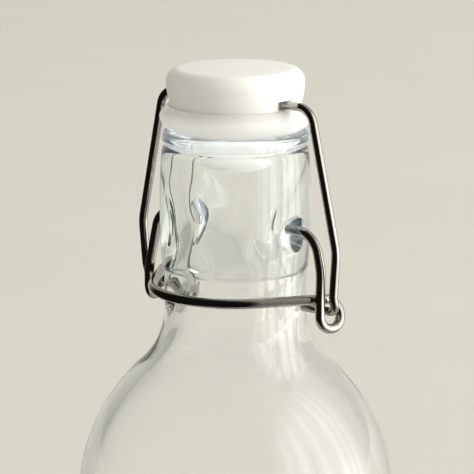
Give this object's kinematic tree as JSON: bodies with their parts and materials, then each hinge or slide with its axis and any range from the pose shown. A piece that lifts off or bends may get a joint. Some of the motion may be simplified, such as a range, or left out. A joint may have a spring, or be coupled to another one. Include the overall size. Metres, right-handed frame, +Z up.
{
  "type": "growler",
  "caption": "Clear glass swing-top growler with a round shoulder, a lug barrel on its neck, and a wire lever and bail that clamp a plug stopper with a gasket on its mouth.",
  "frame": {"origin": "centre of the bottle's base, on the surface it stands on", "axes": "+Z up the bottle's axis, X along the closure's pivot axes, -Y towards the lever's front bar"},
  "size_m": [0.076, 0.076, 0.2602],
  "materials": {
    "clear_glass": "clear, faint green tint in thick glass, glossy",
    "polished_steel": "bright drawn stainless wire, near-mirror",
    "white_plastic": "warm white moulded plastic, soft sheen",
    "pale_rubber": "translucent off-white rubber, satin"
  },
  "bodies": {
    "bottle": {"glass_bottle": "clear_glass"},
    "lever": {"lever_wire": "polished_steel"},
    "bail": {"bail_wire": "polished_steel"},
    "stopper_set": {"stopper": "white_plastic", "gasket": "pale_rubber"}
  },
  "joints": [
    {"name": "lever_swing", "type": "hinge", "parent": "bottle", "child": "lever", "pos_m": [0, 0, 0.2231], "axis": [-1, 0, 0], "range_deg": [0, 78]},
    {"name": "bail_swing", "type": "hinge", "parent": "lever", "child": "bail", "pos_m": [0, 0.00185, 0.2046], "axis": [1, 0, 0], "range_deg": [0, 50]},
    {"name": "stopper_swing", "type": "hinge", "parent": "bail", "child": "stopper_set", "pos_m": [0, 0, 0.2524], "axis": [1, 0, 0], "range_deg": [0, 28.1]}
  ],
  "couplings": [
    {"joint": "bail_swing", "follows": "lever_swing", "ratio": 0.64},
    {"joint": "stopper_swing", "follows": "lever_swing", "ratio": 0.36}
  ]
}
